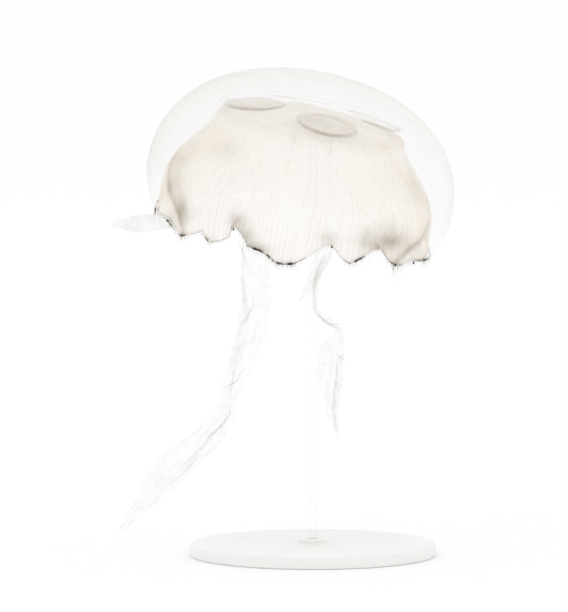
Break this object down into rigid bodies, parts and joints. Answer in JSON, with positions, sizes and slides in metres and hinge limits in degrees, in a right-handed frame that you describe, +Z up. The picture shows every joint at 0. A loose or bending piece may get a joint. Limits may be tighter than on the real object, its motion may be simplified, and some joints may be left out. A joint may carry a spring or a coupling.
{
  "type": "moon jellyfish",
  "caption": "Life-size still model of a moon jellyfish in mid-stroke: domed clear bell, horseshoe gonads, fringed margin and trailing oral arms, on a plain rod stand.",
  "frame": {"origin": "centre of the underside of the stand's base", "axes": "+Z up, -Y towards the front of the animal, +X to the right seen from the front"},
  "size_m": [0.2236, 0.2005, 0.3173],
  "materials": {
    "clear_jelly": "clear wet jelly, colourless, cast smooth",
    "muscle_sheet": "thin milky sheet with fine radial fibres, warm ivory",
    "margin_skin": "thin milky skin with a dark olive-brown edge and fine tentacles",
    "sense_organ": "dark brown pigment",
    "gonad": "soft mauve-grey band",
    "arm_veil": "wet translucent white flesh, thicker along the rib",
    "white_acrylic": "satin white acrylic sheet with polished edge",
    "clear_acrylic": "polished clear acrylic rod"
  },
  "bodies": {
    "root": {"bell": "clear_jelly", "stomach_floor": "muscle_sheet", "subumbrella": "muscle_sheet", "lappet_1": "margin_skin", "lappet_2": "margin_skin", "lappet_3": "margin_skin", "lappet_4": "margin_skin", "lappet_5": "margin_skin", "lappet_6": "margin_skin", "lappet_7": "margin_skin", "lappet_8": "margin_skin", "rhopalium_1": "sense_organ", "rhopalium_2": "sense_organ", "rhopalium_3": "sense_organ", "rhopalium_4": "sense_organ", "rhopalium_5": "sense_organ", "rhopalium_6": "sense_organ", "rhopalium_7": "sense_organ", "rhopalium_8": "sense_organ", "gonad_1": "gonad", "gonad_2": "gonad", "gonad_3": "gonad", "gonad_4": "gonad", "manubrium": "arm_veil", "oral_arm_left_1": "arm_veil", "oral_arm_left_2": "arm_veil", "oral_arm_left_3": "arm_veil", "oral_arm_left_4": "arm_veil", "oral_arm_right_1": "arm_veil", "oral_arm_right_2": "arm_veil", "oral_arm_right_3": "arm_veil", "oral_arm_back_1": "arm_veil", "oral_arm_back_2": "arm_veil", "oral_arm_trailing_1": "arm_veil", "oral_arm_trailing_2": "arm_veil", "stand_base": "white_acrylic", "stand_rod": "clear_acrylic", "stand_pad": "clear_acrylic"}
  },
  "joints": []
}
